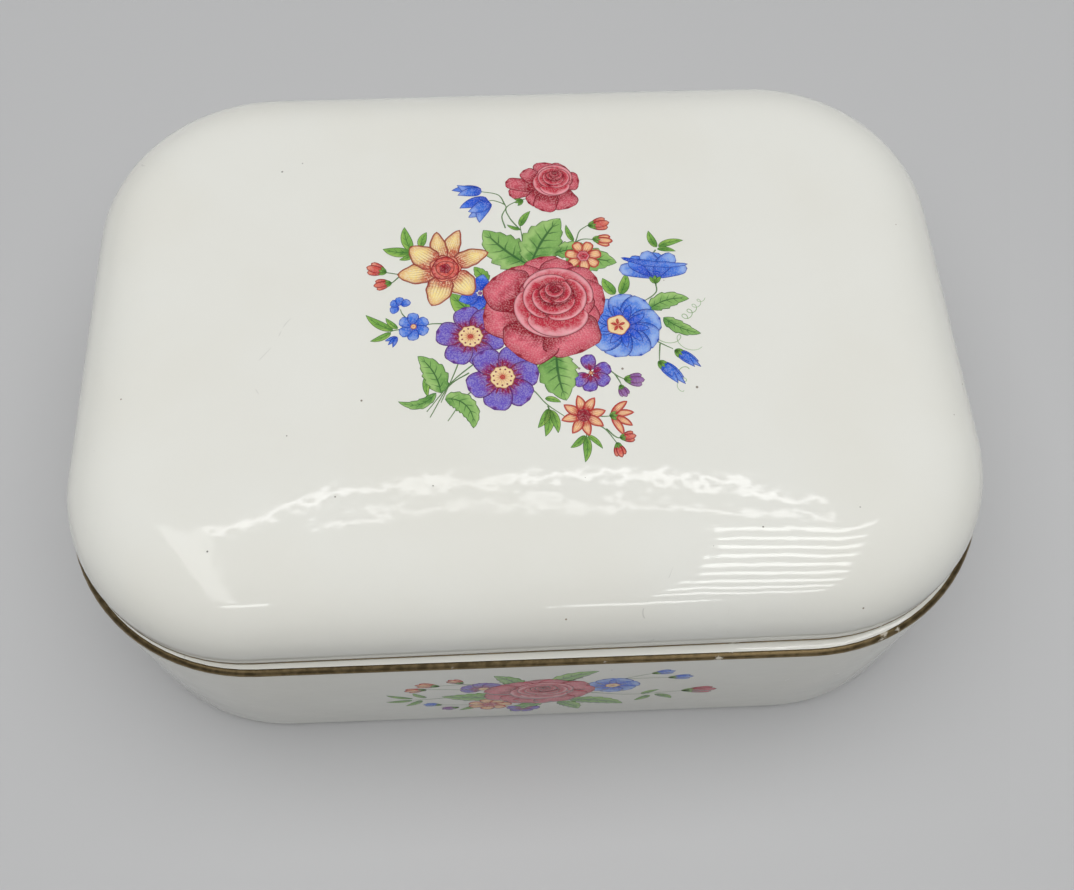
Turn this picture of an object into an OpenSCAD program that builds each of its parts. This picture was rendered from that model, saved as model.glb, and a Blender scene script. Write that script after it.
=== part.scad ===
// Porcelain trinket box: a rounded rectangular base and a loose pillow-shaped lid,
// with fired gilt lines and fired flower prints. Millimetres, +Z up.
// The origin is the centre of the base's footprint, on the surface that it stands on.

/* [Plan] */
// Length of the base, left to right
box_l = 120; // [96:1:160]
// Width of the base, front to back
box_w = 88; // [72:1:120]
// Radius of the base's corners, seen from above
corner_r = 25.6; // [20:0.1:32]

/* [Base] */
// Height of the base, up to the ledge that the lid stands on
base_h = 29; // [22:0.5:45]
// Thickness of the base's wall
base_wall = 3.4; // [2.8:0.1:4.2]
// Thickness of the base's floor
base_floor = 3.2; // [2.4:0.1:6]
// Rounding of the ledge's outer edge
rim_round = 0.8; // [0.4:0.1:1.2]
// Rounding of the ledge's inner edge
mouth_round = 0.5; // [0.2:0.1:0.8]
// Rounding of the wall's lower edge
foot_round = 2.2; // [1:0.1:3]
// Width of the foot ring's flat face
foot_w = 3; // [2:0.1:5]
// Depth of the recess inside the foot ring
foot_recess = 1.2; // [0.6:0.1:2]
// Rounding between the inside wall and the floor
inside_round = 4; // [2:0.1:6]

/* [Lid] */
// How far the lid's edge stands back from the base's edge, along the long sides
lid_step = 1.3; // [0.9:0.1:1.6]
// The same along the short sides, where the lid reaches further out
lid_side_step = 0.6; // [0.5:0.1:0.9]
// Height of the upright band at the lid's lower edge
lid_edge_h = 1.8; // [1.2:0.1:4]
// Rounding of the lid's lowest edge
lip_round = 0.4; // [0.2:0.1:0.6]
// Width of the rolled-over shoulder, seen from above
shoulder_w = 11.5; // [9:0.1:13]
// Height of the rolled-over shoulder
shoulder_h = 8; // [6:0.1:12]
// Fullness of the shoulder: 2 is an ellipse, more is squarer
shoulder_n = 2.3; // [2:0.1:3]
// Extra height of the pillow at its middle
crown_h = 2.6; // [0.5:0.1:5]
// Thickness of the lid's shell
lid_wall = 3.2; // [2.4:0.1:4]

/* [Fit of the lid] */
// Depth of the locating flange under the lid
flange_h = 3; // [2:0.1:5]
// Thickness of the locating flange
flange_w = 2.2; // [1.6:0.1:2.6]
// Clearance between the flange and the base's long walls
flange_gap = 1.5; // [1.4:0.1:1.8]
// Angle at which the loose lid lies on the ledge, degrees
lid_turn = 0.4; // [0:0.05:0.4]
// How far back from the middle the loose lid lies
lid_set_back = 0.3; // [0:0.05:0.3]

/* [Decoration] */
// Thickness of the fired gilding
gilt_t = 0.03; // [0.02:0.01:0.06]
// Height of the gilt line on the lid's edge
lid_gilt_h = 0.5; // [0.3:0.1:1]
// Thickness of the fired prints
print_t = 0.05; // [0.03:0.01:0.08]
// Size of the bouquet on the lid, against its usual size
bouquet_scale = 1; // [0.7:0.05:1.1]
// Size of the spray on the front, against its usual size
spray_scale = 1; // [0.7:0.05:1.05]

/* [Hidden] */
$fn = 96;

glaze = [0.88, 0.88, 0.85];
gilt = [0.36, 0.31, 0.17];
lid_print = [0.62, 0.36, 0.42];
front_print = [0.42, 0.34, 0.38];

// The base's outlines are all round the same corner centres, so its wall is even.
core_l = box_l / 2 - corner_r;
core_w = box_w / 2 - corner_r;
floor_z = foot_recess + base_floor;

// The lid's corner centres lie further out, so its gap narrows from the front to the sides.
lid_core_l = core_l + lid_step - lid_side_step;
lid_r = corner_r - lid_step;
lid_a = box_l / 2 - lid_side_step;
lid_b = box_w / 2 - lid_step;
shoulder_z = lid_edge_h + shoulder_h;
// Distances in from the lid's outline to the flange's two faces
flange_out = base_wall + flange_gap - lid_step;
flange_in = flange_out + flange_w;
// The corners that are broken on the flange's lower edge
flange_chamfer = 0.5;

// Steps of the lid's skin: round a corner, along a long and a short side, up the
// outside and inside of the shoulder, and from the shoulder to the middle
corner_steps = 12;
long_steps = 8;
short_steps = 6;
shoulder_steps = 11;
inside_steps = 7;
crown_steps = 7;

// The gilt line on the base covers this part of the ledge's rounded edge, degrees.
rim_gilt_from = 15;
rim_gilt_to = 75;
rim_steps = 8;

// How deeply the flowers' outlines are scalloped, and the steps along a leaf's edge
scallop = 0.07;
leaf_steps = 6;
// Rings of points across each film on the lid, and its clearance over the lid's facets
film_rings = 3;
film_lift = 0.004;

// Flowers of the bouquet: [x, y, radius, petals], and leaves: [x, y, length, width, angle]
bouquet_flowers = [
    [2.7, -0.8, 7.6, 6], [3, 19.4, 4.6, 5], [-6.4, 18, 3.2, 5], [-10.8, 5.6, 5.6, 6],
    [-14.6, -3.6, 2.4, 6], [-8.6, -5.8, 3.8, 6], [-4.2, -12.9, 4.4, 6], [14.6, -3.8, 4.4, 5],
    [18, 5.6, 3.8, 5], [9.4, 8.8, 2.3, 6], [11.4, 13.6, 2.1, 5], [8.4, -11.2, 2.6, 5],
    [5.6, -17.6, 2.8, 8], [12, -15.8, 2.4, 5], [21.2, -11.3, 2.5, 5], [-19.4, 8, 1.9, 5]];
bouquet_leaves = [
    [-2.6, 11.2, 8, 3.6, -40], [4.4, 11.8, 7, 3.4, 62], [22.2, -1, 5, 2.4, 70],
    [20.9, -7.2, 4.4, 1.8, -20], [2.8, -11.8, 5.6, 3.6, 82], [-12.4, -11.2, 6, 2.8, 66],
    [-10, -18.4, 6, 3, 10], [-0.2, -19.2, 5.6, 2.2, 50], [10.4, -20.4, 5.6, 2.2, -35]];

// The spray on the front wall: the same, measured from the middle of the wall's foot
spray_flowers = [
    [1.5, 14.2, 4.4, 6], [-5.8, 13.2, 2.7, 5], [9.4, 15.2, 3.1, 5], [-11.6, 16.4, 2.1, 5],
    [15.2, 12.8, 2, 5], [21.4, 13.4, 1.8, 5], [-16.6, 13, 1.7, 5]];
spray_leaves = [
    [-3.2, 20, 7, 2.6, 30], [5.2, 20.6, 6.4, 2.4, -24], [-8.4, 8.2, 7, 2.6, 24],
    [4.4, 7.4, 7, 2.6, -20], [14.4, 19.4, 5.4, 2, 36], [-14, 9.6, 5.2, 2, -30],
    [18.8, 17, 5.2, 1.8, 20]];

// Points of an arc round (x, y), from angle a0 to a1.
function arc(x, y, r, a0, a1, steps) = [
    for (i = [0:steps])
        let (a = a0 + (a1 - a0) * i / steps)
            [x + r * cos(a), y + r * sin(a)]];

// Sweeps a profile round the plan. Its x runs outwards from the corner centres.
module swept(profile) {
    for (quarter = [0:3]) {
        across = quarter % 2 == 0 ? core_l : core_w;
        along = quarter % 2 == 0 ? core_w : core_l;
        rotate([0, 0, quarter * 90]) translate([across, along, 0]) {
            rotate_extrude(angle = 90) polygon(profile);
            rotate([90, 0, 0]) linear_extrude(2 * along) polygon(profile);
        }
    }
}

// Outline of the lid at a distance in from its edge, as points at equal steps.
function corner_centre(k) =
    [(k == 0 || k == 3 ? 1 : -1) * lid_core_l, (k < 2 ? 1 : -1) * core_w];
function corner_point(k, inset, a) = corner_centre(k) + (lid_r - inset) * [cos(a), sin(a)];
function outline(inset) = [
    for (k = [0:3])
        let (
            steps = k % 2 == 0 ? long_steps : short_steps,
            last = corner_point(k, inset, 90 * (k + 1)),
            next = corner_point((k + 1) % 4, inset, 90 * (k + 1)))
            each concat(
                [for (i = [0:corner_steps]) corner_point(k, inset, 90 * (k + i / corner_steps))],
                [for (i = [1:steps - 1]) last + (next - last) * i / steps])];
ring_size = 4 * (corner_steps + 1) + 2 * (long_steps - 1) + 2 * (short_steps - 1);

// The pillow's extra height, full in the middle and nothing at the edge.
function crown(p) = crown_h * (1 - pow(p.x / lid_a, 2)) * (1 - pow(p.y / lid_b, 2));
function flat_ring(inset, z) = [for (p = outline(inset)) [p.x, p.y, z]];
function skin_ring(inset, z, share) = [for (p = outline(inset)) [p.x, p.y, z + share * crown(p)]];

// The outside of the shoulder at angle a, from 0 at the edge to 90 at the pillow.
function shoulder_ring(a, lift = 0) =
    let (rise = pow(sin(a), 2 / shoulder_n))
        skin_ring(shoulder_w * (1 - pow(cos(a), 2 / shoulder_n)),
                  lid_edge_h + shoulder_h * rise + lift, rise);

// The pillow from the shoulder to the middle, at share s of the way out.
function pillow_ring(inset, z, s) = [
    for (p = outline(inset)) let (q = p * s) [q.x, q.y, z + crown(q)]];

// The inside of the shell, which starts where the flange's inner face meets it.
inside_w = shoulder_w - lid_wall;
inside_h = shoulder_h - lid_wall;
inside_from = acos(min(1, (shoulder_w - flange_in) / inside_w));
function inside_ring(a) =
    skin_ring(shoulder_w - inside_w * cos(a), lid_edge_h + inside_h * sin(a), sin(a));

// Faces of a stack of rings with size points each, and the fans that close its two ends.
function ring_faces(rings, size) = [
    for (j = [0:rings - 2], i = [0:size - 1])
        let (
            i2 = (i + 1) % size,
            a = j * size + i,
            b = j * size + i2,
            c = (j + 1) * size + i2,
            d = (j + 1) * size + i)
            each [[a, b, c], [a, c, d]]];
function first_cap(pole, size) = [for (i = [0:size - 1]) [pole, (i + 1) % size, i]];
function last_cap(pole, rings, size) =
    let (start = (rings - 1) * size)
        [for (i = [0:size - 1]) [pole, start + i, start + (i + 1) % size]];

// Where the loose lid lies on the base.
module on_ledge() {
    translate([0, lid_set_back, base_h]) rotate([0, 0, lid_turn]) children();
}

// Outlines of a print: a scalloped round for each flower, a pointed oval for each leaf.
function placed(points, x, y, angle, size) = [
    for (p = points) size * [
        x + p.x * cos(angle) - p.y * sin(angle),
        y + p.x * sin(angle) + p.y * cos(angle)]];
function flower(f, size) =
    let (count = 4 * f[3])
        placed([
            for (i = [0:count - 1])
                let (a = 360 * i / count)
                    f[2] * (1 - scallop + scallop * cos(f[3] * a)) * [cos(a), sin(a)]],
            f[0], f[1], 0, size);
function leaf_point(u, length, width) = [length * (u - 0.5), width / 2 * sin(180 * u)];
function leaf(l, size) =
    placed([
        for (i = [0:leaf_steps - 1]) leaf_point(1 - i / leaf_steps, l[2], l[3]),
        for (i = [0:leaf_steps - 1]) leaf_point(i / leaf_steps, l[2], -l[3])],
        l[0], l[1], l[4], size);

// The lid's outer surface: distance in from the outline, then the height above the ledge.
function inset_of(p) =
    let (q = [abs(p.x) - lid_core_l, abs(p.y) - core_w])
        lid_r - norm([max(q.x, 0), max(q.y, 0)]) - min(max(q.x, q.y), 0);
function rise_at(inset) =
    inset >= shoulder_w ? 1
        : pow(1 - pow(1 - inset / shoulder_w, shoulder_n), 1 / shoulder_n);
function lid_top(p) = lid_edge_h + rise_at(inset_of(p)) * (shoulder_h + crown(p));

// A film with this outline round (x, y), laid on top of the lid.
module lid_film(shape, x, y) {
    middle = bouquet_scale * [x, y];
    count = len(shape);
    rings = concat(
        [for (k = [1:film_rings]) film_ring(shape, middle, k / film_rings, film_lift)],
        [for (k = [1:film_rings])
            film_ring(shape, middle, 1 - (k - 1) / film_rings, film_lift + print_t)]);
    points = [for (ring = rings) each ring];
    under = [middle.x, middle.y, lid_top(middle) + film_lift];
    polyhedron(
        concat(points, [under, under + [0, 0, print_t]]),
        concat(
            first_cap(len(points), count),
            ring_faces(len(rings), count),
            last_cap(len(points) + 1, len(rings), count)));
}
function film_ring(shape, middle, share, lift) = [
    for (p = shape) let (q = middle + share * (p - middle)) [q.x, q.y, lid_top(q) + lift]];

module base() {
    inner = corner_r - base_wall;
    foot_in = corner_r - foot_round - foot_w;
    profile = concat(
        [[0, foot_recess], [foot_in - foot_recess, foot_recess], [foot_in, 0]],
        arc(corner_r - foot_round, foot_round, foot_round, -90, 0, 8),
        arc(corner_r - rim_round, base_h - rim_round, rim_round, 0, rim_gilt_from, 2),
        arc(corner_r - rim_round, base_h - rim_round, rim_round, rim_gilt_from, rim_gilt_to,
            rim_steps),
        [[corner_r - rim_round, base_h]],
        arc(inner + mouth_round, base_h - mouth_round, mouth_round, 90, 180, 4),
        arc(inner - inside_round, floor_z + inside_round, inside_round, 0, -90, 8),
        [[0, floor_z]]);
    color(glaze) {
        swept(profile);
        translate([-core_l, -core_w, foot_recess]) cube([2 * core_l, 2 * core_w, base_floor]);
    }
}

module lid() {
    rings = [
        flat_ring(lip_round, 0),
        flat_ring(lip_round * (1 - cos(45)), lip_round * (1 - sin(45))),
        flat_ring(0, lip_round),
        flat_ring(0, lid_gilt_h + lip_round),
        for (j = [0:shoulder_steps]) shoulder_ring(90 * j / shoulder_steps),
        for (j = [1:crown_steps - 1]) pillow_ring(shoulder_w, shoulder_z, 1 - j / crown_steps)];
    inside = [
        for (j = [1:crown_steps - 1]) pillow_ring(shoulder_w, shoulder_z - lid_wall, j / crown_steps),
        for (j = [0:inside_steps]) inside_ring(90 + (inside_from - 90) * j / inside_steps),
        flat_ring(flange_in, flange_chamfer - flange_h),
        flat_ring(flange_in - flange_chamfer, -flange_h),
        flat_ring(flange_out + flange_chamfer, -flange_h),
        flat_ring(flange_out, flange_chamfer - flange_h),
        flat_ring(flange_out, 0)];
    all_rings = concat(inside, rings);
    points = [for (ring = all_rings) each ring];
    middle = [0, 0, shoulder_z + crown_h];
    color(glaze) on_ledge()
        polyhedron(
            concat(points, [middle - [0, 0, lid_wall], middle]),
            concat(
                first_cap(len(points), ring_size),
                ring_faces(len(all_rings), ring_size),
                last_cap(len(points) + 1, len(all_rings), ring_size)));
}

// A film on the ledge's rounded edge.
module base_gilt_line() {
    x = corner_r - rim_round;
    z = base_h - rim_round;
    color(gilt) swept(concat(
        arc(x, z, rim_round, rim_gilt_from, rim_gilt_to, rim_steps),
        arc(x, z, rim_round + gilt_t, rim_gilt_to, rim_gilt_from, rim_steps)));
}

// A film on the lid's upright edge.
module lid_gilt_line() {
    low = lip_round;
    high = lip_round + lid_gilt_h;
    rings = [
        flat_ring(0, low), flat_ring(-gilt_t, low), flat_ring(-gilt_t, high), flat_ring(0, high)];
    last = 3 * ring_size;
    closing = [
        for (i = [0:ring_size - 1])
            let (i2 = (i + 1) % ring_size)
                each [[last + i, last + i2, i2], [last + i, i2, i]]];
    color(gilt) on_ledge()
        polyhedron([for (ring = rings) each ring], concat(ring_faces(4, ring_size), closing));
}

module lid_bouquet_transfer() {
    color(lid_print) on_ledge() {
        for (f = bouquet_flowers) lid_film(flower(f, bouquet_scale), f[0], f[1]);
        for (l = bouquet_leaves) lid_film(leaf(l, bouquet_scale), l[0], l[1]);
    }
}

module front_spray_transfer() {
    color(front_print)
        translate([0, -box_w / 2, 0]) rotate([90, 0, 0]) linear_extrude(print_t) {
            for (f = spray_flowers) polygon(flower(f, spray_scale));
            for (l = spray_leaves) polygon(leaf(l, spray_scale));
        }
}

base();
lid();
base_gilt_line();
lid_gilt_line();
lid_bouquet_transfer();
front_spray_transfer();
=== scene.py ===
import math
import random

import bmesh
import bpy
from mathutils import Matrix, Vector


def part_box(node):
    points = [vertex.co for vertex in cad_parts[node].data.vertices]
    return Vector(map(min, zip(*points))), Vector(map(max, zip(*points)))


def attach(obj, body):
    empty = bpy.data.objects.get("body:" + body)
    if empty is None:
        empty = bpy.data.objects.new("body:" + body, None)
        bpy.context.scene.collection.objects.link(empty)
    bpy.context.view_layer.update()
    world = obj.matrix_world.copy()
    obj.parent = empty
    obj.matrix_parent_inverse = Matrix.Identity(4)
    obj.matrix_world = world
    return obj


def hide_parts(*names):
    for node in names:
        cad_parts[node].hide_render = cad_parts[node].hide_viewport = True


# Porcelain trinket box: the glazed base and pillow-shaped lid, their gilt lines and their
# flower prints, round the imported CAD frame. Metres, +Z up, the printed front towards -Y.

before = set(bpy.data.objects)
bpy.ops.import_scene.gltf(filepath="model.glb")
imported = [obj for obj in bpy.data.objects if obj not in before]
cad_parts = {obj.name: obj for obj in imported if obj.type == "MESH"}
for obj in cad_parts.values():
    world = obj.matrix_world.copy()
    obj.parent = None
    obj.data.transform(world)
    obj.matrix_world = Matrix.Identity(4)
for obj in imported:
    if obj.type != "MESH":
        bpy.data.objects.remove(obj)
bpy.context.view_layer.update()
MM = 0.001

# ---------------------------------------------------------------- sizes, from the frame
BASE_LOW, BASE_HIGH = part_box("base")
LID_LOW, LID_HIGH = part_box("lid")
LEDGE_Z = BASE_HIGH.z
HALF_LENGTH = BASE_HIGH.x
HALF_WIDTH = BASE_HIGH.y

CORNER_R = 25.6 * MM
WALL = 3.4 * MM
FLOOR_Z = 4.4 * MM
RIM_ROUND = 0.8 * MM
MOUTH_ROUND = 0.5 * MM
FOOT_ROUND = 2.2 * MM
FOOT_WIDTH = 3.0 * MM
FOOT_RECESS = 1.2 * MM
INSIDE_ROUND = 4.0 * MM

LID_STEP = 1.3 * MM
LID_SIDE_STEP = 0.6 * MM
LID_EDGE = 1.8 * MM
LIP_ROUND = 0.4 * MM
SHOULDER_W = 11.5 * MM
SHOULDER_H = 8.0 * MM
SHOULDER_N = 2.3
LID_WALL = 3.2 * MM
FLANGE_DEPTH = LEDGE_Z - LID_LOW.z
FLANGE_WIDTH = 2.2 * MM
FLANGE_GAP = 1.5 * MM
FLANGE_CHAMFER = 0.5 * MM
CROWN = LID_HIGH.z - LEDGE_Z - LID_EDGE - SHOULDER_H
LID_TURN = math.radians(0.4)
LID_SET_BACK = 0.3 * MM

LID_A = HALF_LENGTH - LID_SIDE_STEP
LID_B = HALF_WIDTH - LID_STEP
LID_R = CORNER_R - LID_STEP
FLANGE_OUT = WALL + FLANGE_GAP - LID_STEP

# The lid is modelled square on the origin with its lower edge at z = 0, then laid in place.
LID_POSE = (
    Matrix.Translation((0, LID_SET_BACK, LEDGE_Z)) @ Matrix.Rotation(LID_TURN, 4, "Z")
)
CORNER_CUTS = 20
SIDE_CUTS = 9
SHOULDER_RINGS = 22
CROWN_RINGS = 12
HOLLOW_SHOULDER_RINGS = 10
HOLLOW_CROWN_RINGS = 8
SMOOTH_ANGLE = math.radians(40)
TOUCHING = 1e-6
ON_EDGE = 5e-5


# ---------------------------------------------------------------- small modelling helpers
def deselect_all():
    bpy.ops.object.select_all(action="DESELECT")


def start_block(name, low, high):
    """A block between two corners, left in edit mode."""
    deselect_all()
    middle = (low + high) / 2
    bpy.ops.mesh.primitive_cube_add(size=1, location=middle, scale=high - low)
    piece = bpy.context.object
    piece.name = name
    bpy.ops.object.transform_apply(location=True, rotation=True, scale=True)
    bpy.ops.object.mode_set(mode="EDIT")
    return piece


def pick_edges(piece, test):
    """Selects just the edges whose two ends pass the test."""
    bpy.ops.mesh.select_mode(type="EDGE")
    bpy.ops.mesh.select_all(action="DESELECT")
    mesh = bmesh.from_edit_mesh(piece.data)
    for edge in mesh.edges:
        edge.select = test(*(v.co for v in edge.verts))
    mesh.select_flush_mode()
    bmesh.update_edit_mesh(piece.data)


def pick_faces(piece, test):
    """Selects just the faces that pass the test."""
    bpy.ops.mesh.select_mode(type="FACE")
    bpy.ops.mesh.select_all(action="DESELECT")
    mesh = bmesh.from_edit_mesh(piece.data)
    for face in mesh.faces:
        face.select = test(face)
    mesh.select_flush_mode()
    bmesh.update_edit_mesh(piece.data)


def same(a, b):
    return abs(a - b) < TOUCHING


def round_plan(piece, radius):
    """Rounds the four upright edges, and cuts the straight sides so that they can bow."""
    pick_edges(piece, lambda a, b: same(a.x, b.x) and same(a.y, b.y))
    bpy.ops.mesh.bevel(offset=radius, segments=CORNER_CUTS, affect="EDGES", clamp_overlap=False)
    pick_edges(piece, lambda a, b: same(a.z, b.z) and (a - b).length > radius)
    bpy.ops.mesh.subdivide(number_cuts=SIDE_CUTS)


def pick_end(piece, upper):
    """Selects the one flat face that closes the block's top or bottom."""
    sign = 1 if upper else -1
    mesh = bmesh.from_edit_mesh(piece.data)
    level = max(sign * v.co.z for v in mesh.verts)
    pick_faces(piece, lambda f: f.normal.z * sign > 0.9 and same(f.verts[0].co.z * sign, level))


def step_in(inset, rise=0.0):
    """Insets the selected face and moves it along its normal, as one ring of the surface."""
    bpy.ops.mesh.inset(thickness=inset, depth=rise, use_even_offset=True)


def step_along(rise):
    bpy.ops.mesh.extrude_region_move(TRANSFORM_OT_translate={"value": (0, 0, rise)})


def close_face(rings):
    """Fills the selected face with shrinking rings, for where no corner radius is left."""
    for ring in range(rings, 1, -1):
        share = (ring - 1) / ring
        bpy.ops.mesh.extrude_region_move()
        bpy.ops.transform.resize(value=(share, share, 1))
    bpy.ops.mesh.poke()


def round_edges(piece, test, radius, segments):
    pick_edges(piece, test)
    bpy.ops.mesh.bevel(offset=radius, segments=segments, affect="EDGES", clamp_overlap=False)


def plan_inset(point, a=HALF_LENGTH, b=HALF_WIDTH, radius=CORNER_R):
    """How far a point lies inside an outline, the base's if none is given, seen from above."""
    x = abs(point.x) - (a - radius)
    y = abs(point.y) - (b - radius)
    return radius - math.hypot(max(x, 0), max(y, 0)) - min(max(x, y), 0)


def lid_inset(point):
    """How far a point lies inside the lid's outline, before the lid is laid in place."""
    return plan_inset(point, LID_A, LID_B, LID_R)


def finish_piece(piece):
    bpy.ops.object.mode_set(mode="OBJECT")
    bpy.ops.object.shade_smooth_by_angle(angle=SMOOTH_ANGLE)
    return piece


# ---------------------------------------------------------------- porcelain base
def make_base():
    base = start_block("porcelain_base", BASE_LOW, BASE_HIGH)
    round_plan(base, CORNER_R)
    pick_end(base, upper=True)
    step_in(WALL)
    step_along(FLOOR_Z - LEDGE_Z)
    pick_end(base, upper=False)
    step_in(FOOT_ROUND + FOOT_WIDTH)
    bpy.ops.mesh.inset(thickness=FOOT_RECESS, depth=-FOOT_RECESS, use_even_offset=True)

    def at_level(z, inset):
        return lambda a, b: all(same(p.z, z) and abs(plan_inset(p) - inset) < ON_EDGE for p in (a, b))

    round_edges(base, at_level(LEDGE_Z, 0), RIM_ROUND, 6)
    round_edges(base, at_level(LEDGE_Z, WALL), MOUTH_ROUND, 4)
    round_edges(base, at_level(FLOOR_Z, WALL), INSIDE_ROUND, 8)
    round_edges(base, at_level(0, 0), FOOT_ROUND, 8)
    return finish_piece(base)


# ---------------------------------------------------------------- pillow-shaped lid
def crown_at(x, y):
    return CROWN * (1 - (x / LID_A) ** 2) * (1 - (y / LID_B) ** 2)


def lid_top(x, y):
    """Height of the lid's outer surface over its lower edge."""
    inset = lid_inset(Vector((x, y, 0)))
    if inset >= SHOULDER_W:
        share = 1.0
    else:
        share = (1 - (1 - max(inset, 0) / SHOULDER_W) ** SHOULDER_N) ** (1 / SHOULDER_N)
    return LID_EDGE + share * (SHOULDER_H + crown_at(x, y))


def shoulder_steps(width, height, power, first, count):
    """Inset and rise of each ring from angle first up to the level part of the shoulder."""
    angles = [first + (math.pi / 2 - first) * i / count for i in range(count + 1)]
    insets = [width * (1 - max(math.cos(a), 0) ** (2 / power)) for a in angles]
    rises = [height * math.sin(a) ** (2 / power) for a in angles]
    return [(insets[i + 1] - insets[i], rises[i + 1] - rises[i]) for i in range(count)]


def make_lid():
    low = Vector((-LID_A, -LID_B, 0))
    high = Vector((LID_A, LID_B, LID_EDGE))
    lid = start_block("porcelain_lid", low, high)
    round_plan(lid, LID_R)
    pick_end(lid, upper=True)
    for inset, rise in shoulder_steps(SHOULDER_W, SHOULDER_H, SHOULDER_N, 0, SHOULDER_RINGS):
        step_in(inset, rise)
    close_face(CROWN_RINGS)
    raise_part(lid, SHOULDER_H, lambda v: v.co.z > LID_EDGE + TOUCHING)

    # The underside: seat, locating flange, then the hollow.
    pick_end(lid, upper=False)
    step_in(FLANGE_OUT)
    step_along(FLANGE_CHAMFER - FLANGE_DEPTH)
    step_in(FLANGE_CHAMFER, FLANGE_CHAMFER)
    step_in(FLANGE_WIDTH - 2 * FLANGE_CHAMFER)
    step_in(FLANGE_CHAMFER, -FLANGE_CHAMFER)
    inner_w = SHOULDER_W - LID_WALL
    inner_h = SHOULDER_H - LID_WALL
    start = math.acos((SHOULDER_W - FLANGE_OUT - FLANGE_WIDTH) / inner_w)
    step_along(FLANGE_DEPTH - FLANGE_CHAMFER + LID_EDGE + inner_h * math.sin(start))
    for inset, rise in shoulder_steps(inner_w, inner_h, 2, start, HOLLOW_SHOULDER_RINGS):
        step_in(inset, -rise)
    close_face(HOLLOW_CROWN_RINGS)

    def is_hollow(vert):
        reach = lid_inset(vert.co)
        within = reach > FLANGE_OUT + FLANGE_WIDTH - TOUCHING
        return within and LID_EDGE < vert.co.z < LID_EDGE + inner_h + TOUCHING

    raise_part(lid, inner_h, is_hollow)
    def on_lip(a, b):
        return all(same(p.z, 0) and lid_inset(p) < ON_EDGE for p in (a, b))

    round_edges(lid, on_lip, LIP_ROUND, 4)
    finish_piece(lid)
    lid.data.transform(LID_POSE)
    return lid


def raise_part(piece, height, chosen):
    """Adds the pillow's extra height to the chosen points, in step with their rise."""
    mesh = bmesh.from_edit_mesh(piece.data)
    for v in mesh.verts:
        if chosen(v):
            share = min(max((v.co.z - LID_EDGE) / height, 0), 1)
            v.co.z += share * crown_at(v.co.x, v.co.y)
    bmesh.update_edit_mesh(piece.data)


# ---------------------------------------------------------------- node helpers
SOCKETS = {"value": "NodeSocketFloat", "colour": "NodeSocketColor", "vector": "NodeSocketVector"}


class Graph:
    """The node tree of a material or a group, with the steps that the surfaces share."""

    def __init__(self, tree):
        self.tree = tree

    def link(self, output, socket):
        self.tree.links.new(output, socket)

    def feed(self, socket, value):
        """Links an output to the socket, or sets the socket's own value."""
        if isinstance(value, bpy.types.NodeSocket):
            self.link(value, socket)
        else:
            socket.default_value = value

    def add(self, kind, **values):
        """A node with its properties and inputs set by name."""
        node = self.tree.nodes.new("ShaderNode" + kind)
        for key, value in values.items():
            if hasattr(node, key):
                setattr(node, key, value)
            else:
                self.feed(node.inputs[key.replace("_", " ")], value)
        return node

    def maths(self, operation, *values):
        node = self.add("Math", operation=operation)
        for socket, value in zip(node.inputs, values):
            self.feed(socket, value)
        return node.outputs[0]

    def times(self, a, b):
        return self.maths("MULTIPLY", a, b)

    def plus(self, a, b):
        return self.maths("ADD", a, b)

    def times_plus(self, a, b, c):
        return self.maths("MULTIPLY_ADD", a, b, c)

    def ramp(self, value, low, high):
        """0 below low, 1 above high, smooth between."""
        node = self.add("MapRange", interpolation_type="SMOOTHSTEP", Value=value, From_Min=low,
                        From_Max=high)
        return node.outputs["Result"]

    def mix(self, share, a, b):
        """The colour a share of the way from a to b."""
        node = self.add("Mix", data_type="RGBA")
        for index, value in ((0, share), (6, a), (7, b)):
            bare = isinstance(value, tuple) and len(value) == 3
            self.feed(node.inputs[index], (*value, 1) if bare else value)
        return node.outputs[2]

    def mix_by(self, share, strength, a, b):
        return self.mix(self.times(share, strength), a, b)

    def noise(self, place, scale, detail, roughness=0.5):
        node = self.add("TexNoise", Scale=scale, Detail=detail, Roughness=roughness, Vector=place)
        return node.outputs["Fac"]

    def place(self):
        return self.add("TexCoord").outputs["Object"]

    def use(self, group, **values):
        return self.add("Group", node_tree=group.tree, **values).outputs

    def bump(self, shader, height, strength, distance):
        node = self.add("Bump", Strength=strength, Distance=distance, Height=height)
        self.link(node.outputs["Normal"], shader.inputs["Normal"])


def new_material(name):
    material = bpy.data.materials.new(name)
    material.use_nodes = True
    tree = material.node_tree
    return material, Graph(tree), tree.nodes["Principled BSDF"]


def new_group(name, inputs, outputs):
    tree = bpy.data.node_groups.new(name, "ShaderNodeTree")
    for label, kind, default in inputs:
        socket = tree.interface.new_socket(label, in_out="INPUT", socket_type=SOCKETS[kind])
        if default is not None:
            socket.default_value = default
    for label, kind in outputs:
        tree.interface.new_socket(label, in_out="OUTPUT", socket_type=SOCKETS[kind])
    given = tree.nodes.new("NodeGroupInput").outputs
    return Graph(tree), given, tree.nodes.new("NodeGroupOutput").inputs


# ---------------------------------------------------------------- shared surface effects
def make_glaze_surface():
    """Height of a poured glaze: slow waves from the flow and finer orange peel, with a slow cloud to
    vary its tone.
    """
    group, given, out = new_group(
        "glaze_surface",
        [("Place", "vector", None), ("Wave", "value", 1.0), ("Peel", "value", 1.0)],
        [("Height", "value"), ("Cloud", "value")])
    place = given["Place"]
    wave = group.times(group.noise(place, 85, 1.0), given["Wave"])
    peel = group.times(group.noise(place, 420, 1.0), given["Peel"])
    peel = group.times(peel, 0.12)
    group.link(group.plus(wave, peel), out["Height"])
    group.link(group.noise(place, 45, 3.0), out["Cloud"])
    return group


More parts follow.
